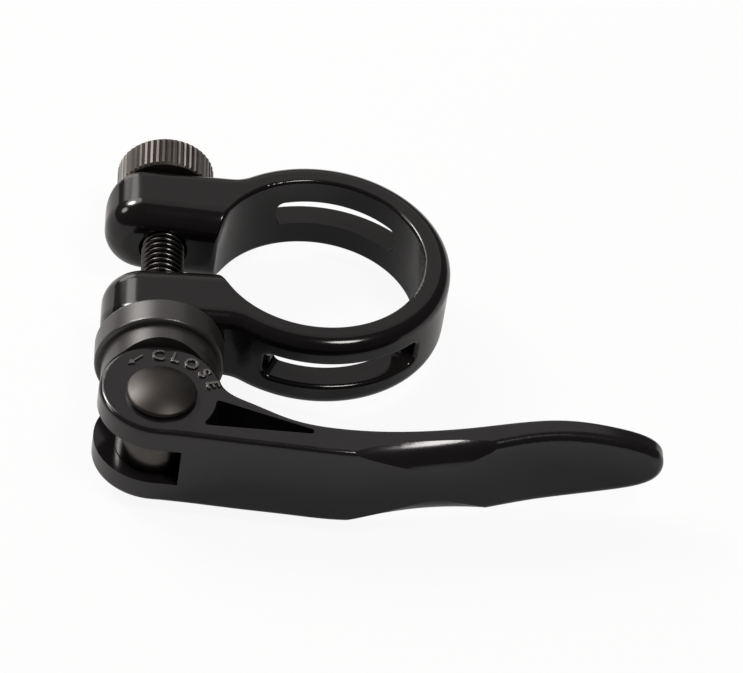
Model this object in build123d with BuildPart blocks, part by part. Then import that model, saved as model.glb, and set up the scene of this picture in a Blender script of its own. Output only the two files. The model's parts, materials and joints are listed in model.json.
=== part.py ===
# Quick-release seatpost clamp for a bicycle: a split collar, drawn together by an eye bolt
# between a knurled nut and a cam lever that bears on a saddle washer.
# Millimetres. Origin at the middle of the bore, +Z along the seat tube, +X along the closed lever.
import os
from math import cos, hypot, radians, sin

from build123d import *

# Collar
bore_radius = 14.3
collar_height = 11.7
ring_wall = 3.8
rim_radius = 2.0
slit_edge_radius = 3.6
bore_edge_radius = 0.5
window_height = 4.0
window_start = 40.5
window_arc = 72.5
window_corner_radius = 1.2
window_lip_radius = 0.6
slit_gap = 7.8
slit_splay = 2.8
ear_tip = 29.1
ear_tip_radius = 5.5
ear_corner_radius = 4.0
ear_face = 14.5
ear_blend_radius = 4.5

# Eye bolt: an M6 thread, of which the core is modelled
bolt_setback = 8.1
shank_diameter = 5.9
thread_core_diameter = 5.0
thread_length = 30.0
ear_hole_clearance = 0.4
bolt_end_stand = 0.4
bolt_end_chamfer = 0.5
eye_diameter = 10.6
eye_thickness = 5.7

# Knurled nut
nut_diameter = 13.3
nut_width = 5.2
knurl_count = 50
knurl_depth = 0.38
knurl_angle = 45.0
knurl_bevel = 0.3
thread_clearance = 0.06
nut_seat_gap = 0.05

# Saddle washer
washer_diameter = 17.4
washer_flange = 4.2
washer_edge_radius = 0.5
washer_seat_gap = 0.05
washer_hole_clearance = 0.3
saddle_diameter = 15.5
saddle_radius = 10.5
saddle_wing = 1.2
cam_gap = 0.1

# Pivot pin
pin_diameter = 6.0
pin_clearance = 0.05
pin_head_diameter = 9.4
pin_head_wall = 0.7
pin_head_dome = 1.2
pin_head_round = 0.5
peen_diameter = 8.0
peen_height = 0.5

# Cam lever, in a plan with its zero at the pivot
pin_offset = 30.6
cam_radius = 8.2
cam_throw = 1.2
cam_blend_angle = 17.0
fork_height = 13.0
fork_slot_clearance = 0.2
fork_slot_end = 3.15
fork_eye_clearance = 0.5
lever_reach = 67.8
arm_overrun = 3.4
lever_edge_radius = 0.7
paddle_edge_radius = 1.3
arm_joint = 29.0
shoulder_station = 0.325
waist_station = 0.505
waist_back = -2.1
waist_front = -7.0
waist_height = 12.3
paddle_station = 0.69
paddle_height = 12.6
tip_station = 0.9
tip_height = 9.6
arm_stations = (0.18, 0.25, 0.355, waist_station, 0.62, 0.75, 0.885, 1.0)
arm_back = (0.05, -2.1, -3.2, waist_back, -0.5, 1.8, 3.0, 3.3)
arm_front = (-7.55, -7.75, -8.05, waist_front, -5.0, -1.9, -0.4, 0.0)
pocket_wall = 1.5
pocket_front = -4.95
pocket_back = 2.2
pocket_end = 22.7
pocket_depth = 5.0
pocket_corner_radius = 0.45
grip_round = 4.6
grip_drop = 2.9
grip_sweep = 60.0
grip_width = 6.3
grip_meet = 16.0
grip_turn = 15.5

ring_radius = bore_radius + ring_wall
half_height = collar_height / 2
half_fork = fork_height / 2
half_slot = eye_thickness / 2 + fork_slot_clearance
eye_recess = eye_diameter / 2 + fork_eye_clearance
bolt_x = bolt_setback - ear_tip
pin_y = -pin_offset
cam_span = 2 * cam_radius
cam_back = pin_y + cam_throw + cam_radius
washer_back = -ear_face - washer_seat_gap
saddle_front = cam_back - saddle_wing
nut_front = ear_face + nut_seat_gap
bolt_end = nut_front + nut_width + bolt_end_stand
close = 0.01
pivot = Plane(origin=(bolt_x, pin_y, 0))
pivot_side = Plane(origin=(bolt_x, pin_y, 0), x_dir=(1, 0, 0), z_dir=(0, -1, 0))


def across_bolt(y):
    return Plane(origin=(bolt_x, y, 0), x_dir=(1, 0, 0), z_dir=(0, 1, 0))


def on_end(edge):
    return abs(abs(edge.center().Z) - half_height) < close


def on_ring(edge):
    return abs(hypot(edge.center().X, edge.center().Y) - ring_radius) < close


# Window cutter: an arc of the ring wall with rounded corners
with BuildPart() as window:
    with BuildSketch(Plane.XZ.rotated((0, 0, window_start))):
        with Locations((ring_radius, 0)):
            Rectangle(3 * ring_wall, window_height)
    revolve(axis=Axis.Z, revolution_arc=window_arc)
    ends = window.faces().filter_by(GeomType.PLANE).filter_by(Axis.Z, reverse=True)
    fillet(ends.edges().filter_by(Axis.Z, reverse=True), window_corner_radius)

# Split collar: ring and two ears in one piece
with BuildPart() as collar:
    with BuildSketch() as plan:
        Circle(ring_radius)
        with Locations((-ear_tip / 2, 0)):
            Rectangle(ear_tip, 2 * ear_face)
        fillet(plan.vertices().filter_by(lambda v: -ring_radius < v.X < -rim_radius), ear_blend_radius)
        fillet(plan.vertices().group_by(Axis.X)[0], ear_corner_radius)
    extrude(amount=half_height, both=True)
    with BuildSketch(Plane.XZ) as side:
        with Locations(((ring_radius - ear_tip) / 2, 0)):
            Rectangle(ring_radius + ear_tip, collar_height)
        fillet(side.vertices().group_by(Axis.X)[0], ear_tip_radius)
    extrude(amount=2 * ring_radius, both=True, mode=Mode.INTERSECT)
    rims = collar.edges().filter_by(on_end)
    fillet(rims - rims.filter_by(Axis.Y), rim_radius)
    with BuildSketch():
        with BuildLine():
            nut_side = PolarLine((-bore_radius, slit_gap / 2), ear_tip, 180 - slit_splay)
            lever_side = PolarLine((-bore_radius, -slit_gap / 2), ear_tip, 180 + slit_splay)
            Line(nut_side @ 1, lever_side @ 1)
            Polyline(nut_side @ 0, (0, slit_gap / 2), (0, -slit_gap / 2), lever_side @ 0)
        make_face()
    extrude(amount=half_height, both=True, mode=Mode.SUBTRACT)
    lips = collar.edges().filter_by(on_end)
    lips = lips.filter_by(lambda e: abs(e.center().Y) < slit_gap and e.center().X < -bore_radius)
    fillet(lips - lips.filter_by(Axis.Y), slit_edge_radius)
    with BuildSketch():
        Circle(bore_radius)
    extrude(amount=half_height, both=True, mode=Mode.SUBTRACT)
    circles = collar.edges().filter_by(GeomType.CIRCLE)
    fillet(circles.filter_by(lambda e: abs(e.radius - bore_radius) < close), bore_edge_radius)
    for cutter in (window.part, window.part.mirror(Plane.XZ)):
        add(cutter, mode=Mode.SUBTRACT)
        fillet(collar.edges(Select.LAST).filter_by(on_ring), window_lip_radius)
    with BuildSketch(across_bolt(-ear_face)):
        Circle(shank_diameter / 2 + ear_hole_clearance)
    extrude(amount=2 * ear_face, mode=Mode.SUBTRACT)
collar.part.label = "collar"

# Eye bolt
with BuildPart() as eye_bolt:
    with BuildSketch(across_bolt(pin_y)):
        Circle(shank_diameter / 2)
    extrude(amount=bolt_end - thread_length - pin_y)
    with BuildSketch(across_bolt(bolt_end - thread_length)):
        Circle(thread_core_diameter / 2)
    extrude(amount=thread_length)
    chamfer(eye_bolt.edges().sort_by(Axis.Y)[-1], bolt_end_chamfer)
    with BuildSketch(pivot):
        Circle(eye_diameter / 2)
    extrude(amount=eye_thickness / 2, both=True)
    with BuildSketch(pivot):
        Circle(pin_diameter / 2 + pin_clearance)
    extrude(amount=shank_diameter, both=True, mode=Mode.SUBTRACT)
eye_bolt.part.label = "eye_bolt"

# Knurled nut: straight teeth with bevelled ends
with BuildPart() as adjusting_nut:
    with BuildSketch(across_bolt(nut_front)):
        Circle(nut_diameter / 2)
    extrude(amount=nut_width)
    chamfer(adjusting_nut.edges().filter_by(GeomType.CIRCLE), knurl_bevel)
    with BuildSketch(across_bolt(nut_front)):
        with PolarLocations(nut_diameter / 2, knurl_count):
            Triangle(a=2 * knurl_depth, B=knurl_angle, C=knurl_angle, rotation=90)
    extrude(amount=nut_width, mode=Mode.SUBTRACT)
    with BuildSketch(across_bolt(nut_front)):
        Circle(thread_core_diameter / 2 + thread_clearance)
    extrude(amount=nut_width, mode=Mode.SUBTRACT)
adjusting_nut.part.label = "adjusting_nut"

# Saddle washer: a flange on the ear and a hollowed hub under the cam
with BuildPart() as cam_washer:
    with BuildSketch(across_bolt(washer_back - washer_flange)):
        Circle(washer_diameter / 2)
    extrude(amount=washer_flange)
    fillet(cam_washer.edges().filter_by(GeomType.CIRCLE), washer_edge_radius)
    with BuildSketch(across_bolt(saddle_front)):
        Circle(saddle_diameter / 2)
    extrude(amount=washer_back - saddle_front - washer_flange / 2)
    with BuildSketch(Plane(origin=(bolt_x, cam_back + cam_gap - saddle_radius, 0))):
        Circle(saddle_radius)
    extrude(amount=washer_diameter, both=True, mode=Mode.SUBTRACT)
    with BuildSketch(across_bolt(saddle_front)):
        Circle(shank_diameter / 2 + washer_hole_clearance)
    extrude(amount=washer_back - saddle_front, mode=Mode.SUBTRACT)
cam_washer.part.label = "cam_washer"

# Pivot pin, riveted in the fork: a domed head above and a peened end below
head_seat = half_fork + pin_head_wall
with BuildPart() as pivot_pin:
    with BuildSketch(pivot_side):
        with BuildLine():
            axis_line = Line((0, -half_fork - peen_height), (0, head_seat + pin_head_dome))
            dome = TangentArc(axis_line @ 1, (pin_head_diameter / 2, head_seat), tangent=(1, 0))
            Polyline(
                dome @ 1,
                (pin_head_diameter / 2, half_fork),
                (pin_diameter / 2, half_fork),
                (pin_diameter / 2, -half_fork),
                (peen_diameter / 2, -half_fork),
                (pin_diameter / 2, -half_fork - peen_height),
                axis_line @ 0,
            )
        make_face()
    revolve(axis=Axis((bolt_x, pin_y, 0), (0, 0, 1)))
    fillet(pivot_pin.edges().filter_by(lambda e: e.is_closed).sort_by(Axis.Z)[-1], pin_head_round)
pivot_pin.part.label = "pivot_pin"

# Cam lever: a forked cam head, a waisted arm and a broad paddle
blend = Vector(cos(radians(cam_blend_angle)), sin(radians(cam_blend_angle)))
run_out = lever_reach + arm_overrun
with BuildPart() as blank:
    with BuildSketch(pivot):
        with Locations((0, cam_throw)):
            Circle(cam_radius)
        with BuildLine():
            back = Spline(
                blend * cam_radius + Vector(0, cam_throw),
                *[(share * lever_reach, side) for share, side in zip(arm_stations, arm_back)],
                (run_out, arm_back[-1]),
                tangents=(Vector(blend.Y, -blend.X), (1, 0)),
            )
            front = Spline(
                (0, cam_throw - cam_radius),
                *[(share * lever_reach, side) for share, side in zip(arm_stations, arm_front)],
                (run_out, arm_front[-1]),
                tangents=((1, 0), (1, 0)),
            )
            Line(back @ 1, front @ 1)
            Line(back @ 0, front @ 0)
        make_face()
    extrude(amount=cam_span, both=True)
    with BuildSketch(pivot_side.offset(-cam_span)):
        with BuildLine():
            top = Spline(
                (shoulder_station * lever_reach, half_fork),
                (waist_station * lever_reach, waist_height / 2),
                (paddle_station * lever_reach, paddle_height / 2),
                (tip_station * lever_reach, tip_height / 2),
                (lever_reach, 0),
                tangents=((1, 0), (0, -1)),
            )
            bottom = mirror(top, about=Plane.XZ)
            Polyline(
                top @ 0,
                (-cam_span, half_fork),
                (-cam_span, -half_fork),
                (shoulder_station * lever_reach, -half_fork),
            )
        make_face()
    extrude(amount=2 * cam_span, mode=Mode.INTERSECT)
arm_plane = Plane.YZ.offset(bolt_x + arm_joint)
with BuildPart() as arm:
    add(blank.part)
    split(bisect_by=arm_plane, keep=Keep.TOP)
    for side, radius in ((0, paddle_edge_radius), (-1, lever_edge_radius)):
        flank = arm.faces().filter_by(Axis.X, reverse=True).sort_by(Axis.Y)[side]
        fillet(flank.edges().filter_by(lambda e: abs(e.center().X - arm_plane.origin.X) > close), radius)
with BuildPart() as lever:
    add(blank.part)
    split(bisect_by=arm_plane, keep=Keep.BOTTOM)
    outline = lever.edges().filter_by(lambda e: e.center().X < arm_plane.origin.X - close)
    outline = outline.filter_by(lambda e: abs(e.center().Z) > half_slot)
    fillet(outline - outline.filter_by(Axis.Y), lever_edge_radius)
    add(arm.part)
    with BuildSketch(pivot):
        with Locations((fork_slot_end - cam_span, 0)):
            Rectangle(2 * cam_span, 2 * cam_span)
        Circle(eye_recess)
    extrude(amount=half_slot, both=True, mode=Mode.SUBTRACT)
    with BuildSketch(pivot):
        Circle(pin_diameter / 2)
    extrude(amount=half_fork, both=True, mode=Mode.SUBTRACT)
    for side in (1, -1):
        with BuildSketch(pivot.offset(side * half_fork)) as pocket:
            with BuildLine():
                Polyline((0, pocket_front), (0, pocket_back), (pocket_end, pocket_front), close=True)
            make_face()
            Circle(eye_recess + pocket_wall, mode=Mode.SUBTRACT)
            fillet(pocket.vertices(), pocket_corner_radius)
        extrude(amount=-side * pocket_depth, mode=Mode.SUBTRACT)
        corner = Vector(bolt_x + waist_station * lever_reach, pin_y + waist_front, side * waist_height / 2)
        inward = Vector(-sin(radians(grip_turn)), cos(radians(grip_turn)), 0)
        along = Vector(cos(radians(grip_turn)), sin(radians(grip_turn)), 0)
        sunk = grip_drop + grip_round * sin(radians(grip_meet))
        core = corner + inward * grip_round * cos(radians(grip_meet)) - Vector(0, 0, side * sunk)
        outward = (corner - core).normalized()
        with BuildSketch(Plane(core, outward, along)):
            with Locations((grip_sweep / 2, 0)):
                Rectangle(grip_sweep, grip_width)
            Circle(grip_round, mode=Mode.SUBTRACT)
        wheel = core + outward * (grip_sweep + grip_round)
        revolve(axis=Axis(wheel, outward.cross(along)), mode=Mode.SUBTRACT)
lever.part.label = "lever"

os.makedirs("parts", exist_ok=True)
for piece in (collar, eye_bolt, adjusting_nut, cam_washer, pivot_pin, lever):
    export_step(piece.part, f"parts/{piece.part.label}.step")
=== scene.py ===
import json
import math

import bmesh
import bpy
from mathutils import Matrix, Vector


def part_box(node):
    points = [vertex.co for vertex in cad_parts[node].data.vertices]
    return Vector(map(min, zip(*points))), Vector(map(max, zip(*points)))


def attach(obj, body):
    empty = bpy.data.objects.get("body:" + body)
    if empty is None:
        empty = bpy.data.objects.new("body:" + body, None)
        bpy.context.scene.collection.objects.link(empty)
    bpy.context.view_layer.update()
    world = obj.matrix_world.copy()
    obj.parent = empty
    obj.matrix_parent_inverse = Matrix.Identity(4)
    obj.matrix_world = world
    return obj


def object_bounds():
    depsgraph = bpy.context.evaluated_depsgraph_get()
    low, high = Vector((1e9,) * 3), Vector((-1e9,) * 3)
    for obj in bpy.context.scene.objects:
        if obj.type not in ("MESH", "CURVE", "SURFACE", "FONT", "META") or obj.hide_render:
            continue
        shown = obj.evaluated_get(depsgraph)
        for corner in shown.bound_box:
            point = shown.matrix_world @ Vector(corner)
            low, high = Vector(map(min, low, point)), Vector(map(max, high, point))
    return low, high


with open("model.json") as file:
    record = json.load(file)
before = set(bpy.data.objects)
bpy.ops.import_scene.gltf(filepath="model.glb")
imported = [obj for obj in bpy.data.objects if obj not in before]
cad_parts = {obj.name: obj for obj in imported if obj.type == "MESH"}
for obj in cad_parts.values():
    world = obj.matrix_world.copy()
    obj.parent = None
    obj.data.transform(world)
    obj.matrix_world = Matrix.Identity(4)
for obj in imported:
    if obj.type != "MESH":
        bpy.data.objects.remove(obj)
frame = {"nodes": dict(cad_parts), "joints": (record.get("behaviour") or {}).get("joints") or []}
cadLow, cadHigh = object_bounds()
scene = bpy.context.scene
nodes = frame["nodes"]
print("frame loaded:", ", ".join(sorted(nodes)))

# where things are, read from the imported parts
joints = {joint["name"]: joint for joint in frame["joints"]}
pinSpot = Vector(joints["lever_swing"]["pos_m"])
boltX = pinSpot.x
forkTop = pinSpot.z + (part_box("lever")[1].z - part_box("lever")[0].z) / 2
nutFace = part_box("adjusting_nut")[0].y
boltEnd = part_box("eye_bolt")[1].y


# shared shader effects

def startGroup(name, inputs, outputs):
    group = bpy.data.node_groups.new(name, "ShaderNodeTree")
    for label, value in inputs.items():
        socket = group.interface.new_socket(label, in_out="INPUT", socket_type="NodeSocketFloat")
        socket.default_value = value
    for label in outputs:
        group.interface.new_socket(label, in_out="OUTPUT", socket_type="NodeSocketFloat")
    return group, group.nodes.new("NodeGroupInput"), group.nodes.new("NodeGroupOutput")


def buildFinishGrain():
    group, given, out = startGroup(
        "finishGrain",
        {"Grain Scale": 4000.0, "Cloud Scale": 120.0},
        ("Grain", "Cloud"),
    )
    coords = group.nodes.new("ShaderNodeTexCoord")
    for scaleName, label, detail in (("Grain Scale", "Grain", 2.0), ("Cloud Scale", "Cloud", 4.0)):
        noise = group.nodes.new("ShaderNodeTexNoise")
        noise.inputs["Detail"].default_value = detail
        group.links.new(coords.outputs["Object"], noise.inputs["Vector"])
        group.links.new(given.outputs[scaleName], noise.inputs["Scale"])
        group.links.new(noise.outputs["Fac"], out.inputs[label])
    return group


finishGrain = buildFinishGrain()


def makeFinish(look):
    material = bpy.data.materials.new(look["name"])
    material.use_nodes = True
    tree = material.node_tree
    shader = tree.nodes["Principled BSDF"]
    shader.inputs["Metallic"].default_value = look["metallic"]
    shader.inputs["Specular IOR Level"].default_value = look["gloss"]
    grain = tree.nodes.new("ShaderNodeGroup")
    grain.node_tree = finishGrain
    grain.inputs["Grain Scale"].default_value = look["grainScale"]
    grain.inputs["Cloud Scale"].default_value = look["cloudScale"]
    tint = tree.nodes.new("ShaderNodeMix")
    tint.data_type = "RGBA"
    tint.inputs["A"].default_value = (*look["dark"], 1.0)
    tint.inputs["B"].default_value = (*look["light"], 1.0)
    tree.links.new(grain.outputs["Cloud"], tint.inputs["Factor"])
    tree.links.new(tint.outputs["Result"], shader.inputs["Base Color"])
    polish = tree.nodes.new("ShaderNodeMapRange")
    polish.inputs["To Min"].default_value = look["roughness"][0]
    polish.inputs["To Max"].default_value = look["roughness"][1]
    tree.links.new(grain.outputs["Cloud"], polish.inputs["Value"])
    tree.links.new(polish.outputs["Result"], shader.inputs["Roughness"])
    bump = tree.nodes.new("ShaderNodeBump")
    bump.inputs["Strength"].default_value = look["bump"]
    bump.inputs["Distance"].default_value = look["bumpDepth"]
    tree.links.new(grain.outputs["Grain"], bump.inputs["Height"])
    tree.links.new(bump.outputs["Normal"], shader.inputs["Normal"])
    return material


# finishes, one for each piece

collarFinish = makeFinish({
    "name": "glossBlackCollar",
    "dark": (0.0034, 0.0028, 0.0028),
    "light": (0.0068, 0.0057, 0.0057),
    "metallic": 0.0,
    "gloss": 0.35,
    "roughness": (0.1, 0.16),
    "grainScale": 900.0,
    "cloudScale": 90.0,
    "bump": 0.05,
    "bumpDepth": 0.00002,
})
leverFinish = makeFinish({
    "name": "satinBlackLever",
    "dark": (0.0046, 0.0040, 0.0044),
    "light": (0.0104, 0.0092, 0.0099),
    "metallic": 0.0,
    "gloss": 0.4,
    "roughness": (0.11, 0.18),
    "grainScale": 3500.0,
    "cloudScale": 160.0,
    "bump": 0.3,
    "bumpDepth": 0.00002,
})
pinFinish = makeFinish({
    "name": "darkenedSteelPin",
    "dark": (0.033, 0.0302, 0.0280),
    "light": (0.060, 0.0552, 0.0515),
    "metallic": 1.0,
    "gloss": 0.3,
    "roughness": (0.38, 0.46),
    "grainScale": 6000.0,
    "cloudScale": 260.0,
    "bump": 0.1,
    "bumpDepth": 0.00002,
})
boltFinish = makeFinish({
    "name": "blackOxideBolt",
    "dark": (0.048, 0.0447, 0.0425),
    "light": (0.096, 0.0895, 0.0851),
    "metallic": 1.0,
    "gloss": 0.3,
    "roughness": (0.18, 0.26),
    "grainScale": 5000.0,
    "cloudScale": 300.0,
    "bump": 0.1,
    "bumpDepth": 0.00002,
})
nutFinish = makeFinish({
    "name": "blackOxideNut",
    "dark": (0.070, 0.0637, 0.0595),
    "light": (0.140, 0.1288, 0.1200),
    "metallic": 0.95,
    "gloss": 0.3,
    "roughness": (0.28, 0.38),
    "grainScale": 5000.0,
    "cloudScale": 240.0,
    "bump": 0.1,
    "bumpDepth": 0.00002,
})
washerFinish = makeFinish({
    "name": "darkPlasticWasher",
    "dark": (0.016, 0.0150, 0.0140),
    "light": (0.029, 0.0269, 0.0252),
    "metallic": 0.0,
    "gloss": 0.6,
    "roughness": (0.26, 0.36),
    "grainScale": 4500.0,
    "cloudScale": 160.0,
    "bump": 0.12,
    "bumpDepth": 0.00002,
})
# the word and arrow get a lighter colour than the lever's paint: a painted highlight standing for the
# glints on their raised edges
markFinish = makeFinish({
    "name": "paintedGlintMark",
    "dark": (0.075, 0.0706, 0.0662),
    "light": (0.19, 0.179, 0.168),
    "metallic": 0.8,
    "gloss": 0.3,
    "roughness": (0.2, 0.3),
    "grainScale": 5000.0,
    "cloudScale": 400.0,
    "bump": 0.1,
    "bumpDepth": 0.00002,
})
finishes = {
    "collar": collarFinish,
    "lever": leverFinish,
    "pivot_pin": pinFinish,
    "eye_bolt": boltFinish,
    "adjusting_nut": nutFinish,
    "cam_washer": washerFinish,
}
for nodeName, finish in finishes.items():
    nodes[nodeName].data.materials[0] = finish
print("finishes on", len(finishes), "parts")


# helpers for added pieces

def addObject(name, mesh):
    thing = bpy.data.objects.new(name, mesh)
    scene.collection.objects.link(thing)
    return thing


def plainMesh(thing, name):
    bpy.context.view_layer.update()
    mesh = bpy.data.meshes.new_from_object(thing.evaluated_get(bpy.context.evaluated_depsgraph_get()))
    mesh.name = name
    return mesh


# rolled thread on the eye bolt, a helical ridge made with Geometry Nodes

thread = {
    "pitch": 0.001,
    "coreRadius": 0.0025,
    "crestRadius": 0.00295,
    "rootWidth": 0.00074,
    "crestWidth": 0.00018,
    "length": 0.030,
    "sink": 0.0001,
    "stepsPerTurn": 40,
}


def buildThreadTree(spec, finish):
    tree = bpy.data.node_groups.new("threadRidge", "GeometryNodeTree")
    tree.interface.new_socket("Geometry", in_out="OUTPUT", socket_type="NodeSocketGeometry")
    sizes = {}
    for label in ("Ridge Radius", "Length", "Turns", "Ridge Height", "Root Width", "Crest Width"):
        sizes[label] = tree.interface.new_socket(label, in_out="INPUT", socket_type="NodeSocketFloat")
    given = tree.nodes.new("NodeGroupInput")
    out = tree.nodes.new("NodeGroupOutput")
    helix = tree.nodes.new("GeometryNodeCurveSpiral")
    helix.inputs["Resolution"].default_value = spec["stepsPerTurn"]
    tree.links.new(given.outputs["Turns"], helix.inputs["Rotations"])
    tree.links.new(given.outputs["Ridge Radius"], helix.inputs["Start Radius"])
    tree.links.new(given.outputs["Ridge Radius"], helix.inputs["End Radius"])
    tree.links.new(given.outputs["Length"], helix.inputs["Height"])
    upright = tree.nodes.new("GeometryNodeSetCurveNormal")
    upright.mode = "Z_UP"
    tree.links.new(helix.outputs["Curve"], upright.inputs["Curve"])
    ridge = tree.nodes.new("GeometryNodeCurvePrimitiveQuadrilateral")
    ridge.mode = "TRAPEZOID"
    ridge.inputs["Offset"].default_value = 0.0
    tree.links.new(given.outputs["Ridge Height"], ridge.inputs["Height"])
    tree.links.new(given.outputs["Root Width"], ridge.inputs["Bottom Width"])
    tree.links.new(given.outputs["Crest Width"], ridge.inputs["Top Width"])
    turned = tree.nodes.new("GeometryNodeTransform")  # the crest looks away from the bolt's axis
    turned.inputs["Rotation"].default_value = (0.0, 0.0, math.radians(90.0))
    tree.links.new(ridge.outputs["Curve"], turned.inputs["Geometry"])
    swept = tree.nodes.new("GeometryNodeCurveToMesh")
    swept.inputs["Fill Caps"].default_value = True
    tree.links.new(upright.outputs["Curve"], swept.inputs["Curve"])
    tree.links.new(turned.outputs["Geometry"], swept.inputs["Profile Curve"])
    real = tree.nodes.new("GeometryNodeRealizeInstances")
    tree.links.new(swept.outputs["Mesh"], real.inputs["Geometry"])
    coated = tree.nodes.new("GeometryNodeSetMaterial")
    coated.inputs["Material"].default_value = finish
    tree.links.new(real.outputs["Geometry"], coated.inputs["Geometry"])
    tree.links.new(coated.outputs["Geometry"], out.inputs["Geometry"])
    return tree, {label: socket.identifier for label, socket in sizes.items()}


def makeThread(spec):
    start = boltEnd - spec["length"]
    run = nutFace - start - spec["rootWidth"]  # the ridge ends short of the nut
    tree, ids = buildThreadTree(spec, boltFinish)
    maker = addObject("threadMaker", bpy.data.meshes.new("threadMaker"))
    modifier = maker.modifiers.new("threadRidge", "NODES")
    modifier.node_group = tree
    ridgeHeight = spec["crestRadius"] - spec["coreRadius"] + spec["sink"]
    modifier[ids["Ridge Radius"]] = spec["crestRadius"] - ridgeHeight / 2
    modifier[ids["Length"]] = run
    modifier[ids["Turns"]] = run / spec["pitch"]
    modifier[ids["Ridge Height"]] = ridgeHeight
    modifier[ids["Root Width"]] = spec["rootWidth"]
    modifier[ids["Crest Width"]] = spec["crestWidth"]
    mesh = plainMesh(maker, "boltThread")
    bpy.data.objects.remove(maker)
    mesh.transform(Matrix.Translation((boltX, start, 0.0)) @ Matrix.Rotation(math.radians(-90.0), 4, "X"))
    return addObject("boltThread", mesh)


boltThread = makeThread(thread)
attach(boltThread, "bolt")
print("thread:", len(boltThread.data.polygons), "faces")


# raised word and arrow on the upper cheek, set round the pin

closeMark = {
    "word": "CLOSE",
    "capHeight": 0.0017,
    "capShare": 0.69,  # cap height of the built-in font at size 1
    "middleRadius": 0.0071,
    "firstAngle": 94.5,
    "angleStep": -18.6,
    "relief": 0.00022,
    "sink": 0.00005,
    "softEdge": 0.00006,
    "arrowTail": (0.0074, 111.0),
    "arrowTip": (0.0068, 132.0),
    "arrowWidth": 0.00022,
    "arrowHead": 0.0009,
    "barbShare": 0.5,  # half width of the arrow's head for its length
    "weldDistance": 1e-7,
}


def aroundPin(radius, degrees):
    angle = math.radians(degrees)
    return Vector((pinSpot.x + radius * math.cos(angle), pinSpot.y + radius * math.sin(angle), 0.0))


def letterMesh(letter, spec):
    text = bpy.data.curves.new("letter" + letter, "FONT")
    text.body = letter
    text.size = spec["capHeight"] / spec["capShare"]
    text.align_x = "CENTER"
    text.align_y = "CENTER"
    text.extrude = (spec["relief"] + spec["sink"]) / 2
    text.bevel_depth = spec["softEdge"]
    maker = addObject("letter" + letter, text)
    mesh = plainMesh(maker, "letter" + letter)
    bpy.data.objects.remove(maker)
    return mesh


def arrowMesh(spec):
    tail = aroundPin(*spec["arrowTail"])
    tip = aroundPin(*spec["arrowTip"])
    ahead = (tip - tail).normalized()
    aside = Vector((-ahead.y, ahead.x, 0.0))
    neck = tip - ahead * spec["arrowHead"]
    half = spec["arrowWidth"] / 2
    barb = spec["arrowHead"] * spec["barbShare"]
    outline = [
        tail + aside * half,
        tail - aside * half,
        neck - aside * half,
        neck - aside * barb,
        tip,
        neck + aside * barb,
        neck + aside * half,
    ]
    count = len(outline)
    low = [(spot.x, spot.y, forkTop - spec["sink"]) for spot in outline]
    high = [(spot.x, spot.y, forkTop + spec["relief"]) for spot in outline]
    walls = [(i, (i + 1) % count, count + (i + 1) % count, count + i) for i in range(count)]
    mesh = bpy.data.meshes.new("arrow")
    lids = [tuple(reversed(range(count))), tuple(range(count, 2 * count))]
    mesh.from_pydata(low + high, [], walls + lids)
    return mesh


def makeCloseMark(spec):
    joined = bmesh.new()
    for step, letter in enumerate(spec["word"]):
        degrees = spec["firstAngle"] + step * spec["angleStep"]
        mesh = letterMesh(letter, spec)
        place = aroundPin(spec["middleRadius"], degrees)
        place.z = forkTop + (spec["relief"] - spec["sink"]) / 2
        mesh.transform(Matrix.Translation(place) @ Matrix.Rotation(math.radians(degrees - 90.0), 4, "Z"))
        joined.from_mesh(mesh)
    joined.from_mesh(arrowMesh(spec))
    bmesh.ops.remove_doubles(joined, verts=joined.verts, dist=spec["weldDistance"])
    bmesh.ops.recalc_face_normals(joined, faces=joined.faces)
    mesh = bpy.data.meshes.new("closeMark")
    joined.to_mesh(mesh)
    joined.free()
    mesh.materials.clear()
    mesh.materials.append(markFinish)
    return addObject("closeMark", mesh)


closeMarkPiece = makeCloseMark(closeMark)
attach(closeMarkPiece, "lever")
print("close mark:", len(closeMarkPiece.data.polygons), "faces")


# floor, lights and camera

stageLook = {
    "floorSize": 4.0,
    "floorColour": (0.6, 0.6, 0.6, 1.0),
    "floorRoughness": 0.9,
    "whiteShare": 0.92,  # of plain white in what the camera sees of the floor
    "mirroredShare": 0.12,  # the same for what the parts mirror
    "worldColour": (0.1, 0.097, 0.096, 1.0),
}


def makeFloor(look):
    half = look["floorSize"] / 2
    mesh = bpy.data.meshes.new("floor")
    level = cadLow.z
    corners = [(-half, -half, level), (half, -half, level), (half, half, level), (-half, half, level)]
    mesh.from_pydata(corners, [], [(0, 1, 2, 3)])
    floor = addObject("floor", mesh)
    material = bpy.data.materials.new("paleFloor")
    material.use_nodes = True
    tree = material.node_tree
    shader = tree.nodes["Principled BSDF"]
    shader.inputs["Base Color"].default_value = look["floorColour"]
    shader.inputs["Roughness"].default_value = look["floorRoughness"]
    shader.inputs["Specular IOR Level"].default_value = 0.0
    glow = tree.nodes.new("ShaderNodeEmission")
    rays = tree.nodes.new("ShaderNodeLightPath")
    shares = []
    for ray, part in (("Is Camera Ray", "whiteShare"), ("Is Glossy Ray", "mirroredShare")):
        share = tree.nodes.new("ShaderNodeMath")
        share.operation = "MULTIPLY"
        share.inputs[1].default_value = look[part]
        tree.links.new(rays.outputs[ray], share.inputs[0])
        shares.append(share)
    seen = tree.nodes.new("ShaderNodeMath")
    seen.operation = "MAXIMUM"
    for slot, share in enumerate(shares):
        tree.links.new(share.outputs["Value"], seen.inputs[slot])
    mixed = tree.nodes.new("ShaderNodeMixShader")
    tree.links.new(seen.outputs["Value"], mixed.inputs["Fac"])
    tree.links.new(shader.outputs["BSDF"], mixed.inputs[1])
    tree.links.new(glow.outputs["Emission"], mixed.inputs[2])
    tree.links.new(mixed.outputs["Shader"], tree.nodes["Material Output"].inputs["Surface"])
    mesh.materials.append(material)
    return floor


floor = makeFloor(stageLook)

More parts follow.
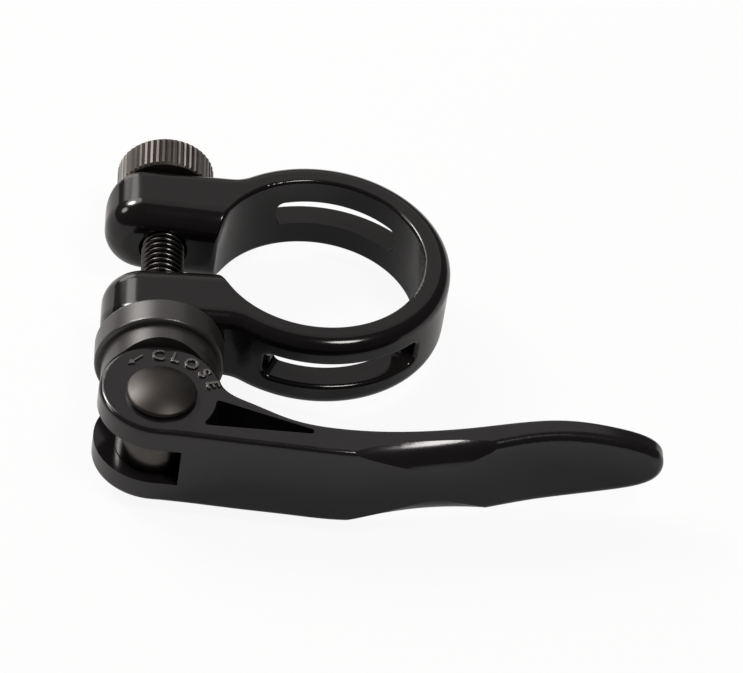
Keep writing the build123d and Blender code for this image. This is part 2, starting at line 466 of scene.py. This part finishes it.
world = bpy.data.worlds.new("studio")
world.use_nodes = True
world.node_tree.nodes["Background"].inputs["Color"].default_value = stageLook["worldColour"]
scene.world = world

lamps = {
    "keySoftbox": {"at": (-0.5, 0.5, 0.65), "size": 0.6, "power": 3.8},
    "keyCore": {"at": (-0.54, 0.38, 0.6), "size": 0.26, "power": 5.2},
    "frontSoftbox": {"at": (0.27, -0.26, 0.9), "size": 0.26, "power": 4.6},
    "leftSoftbox": {"at": (-0.8, 0.1, 0.45), "size": 0.25, "power": 1.4},
    "overheadPanel": {"at": (-0.05, 0.65, 0.62), "size": 1.0, "power": 1.25},
    "backPanel": {"at": (-0.4, 0.75, 0.22), "size": 0.4, "power": 1.2},
}
lampTint = (1.0, 0.965, 0.945)
aim = Vector((0.0, -0.01, 0.0))
for name, lamp in lamps.items():
    light = bpy.data.lights.new(name, "AREA")
    light.shape = "DISK"
    light.size = lamp["size"]
    light.energy = lamp["power"]
    light.color = lampTint
    stand = bpy.data.objects.new(name, light)
    stand.location = lamp["at"]
    stand.rotation_euler = (aim - Vector(lamp["at"])).to_track_quat("-Z", "Y").to_euler()
    scene.collection.objects.link(stand)

shot = {
    "azimuth": -7.0,
    "elevation": 43.495,
    "roll": 9.698,
    "distance": 0.7,
    "target": (0.007688, -0.009479, 0.0),
    "lens": 250.3,  # millimetres, as is the sensor
    "sensor": 36.0,
    "clipStart": 0.01,
}


def makeCamera(view):
    azimuth = math.radians(view["azimuth"])
    elevation = math.radians(view["elevation"])
    back = Vector((
        math.sin(azimuth) * math.cos(elevation),
        -math.cos(azimuth) * math.cos(elevation),
        math.sin(elevation),
    ))
    level = Vector((0.0, 0.0, 1.0)).cross(back).normalized()
    upright = back.cross(level)
    turn = math.radians(view["roll"])
    right = level * math.cos(turn) + upright * math.sin(turn)
    up = upright * math.cos(turn) - level * math.sin(turn)
    lens = bpy.data.cameras.new("photoCamera")
    lens.lens = view["lens"]
    lens.sensor_width = view["sensor"]
    lens.sensor_fit = "HORIZONTAL"
    lens.clip_start = view["clipStart"]
    camera = bpy.data.objects.new("photoCamera", lens)
    spot = Vector(view["target"]) + back * view["distance"]
    camera.matrix_world = Matrix((
        (right.x, up.x, back.x, spot.x),
        (right.y, up.y, back.y, spot.y),
        (right.z, up.z, back.z, spot.z),
        (0.0, 0.0, 0.0, 1.0),
    ))
    scene.collection.objects.link(camera)
    return camera


scene.camera = makeCamera(shot)
scene.view_settings.view_transform = "Standard"
print("stage ready")
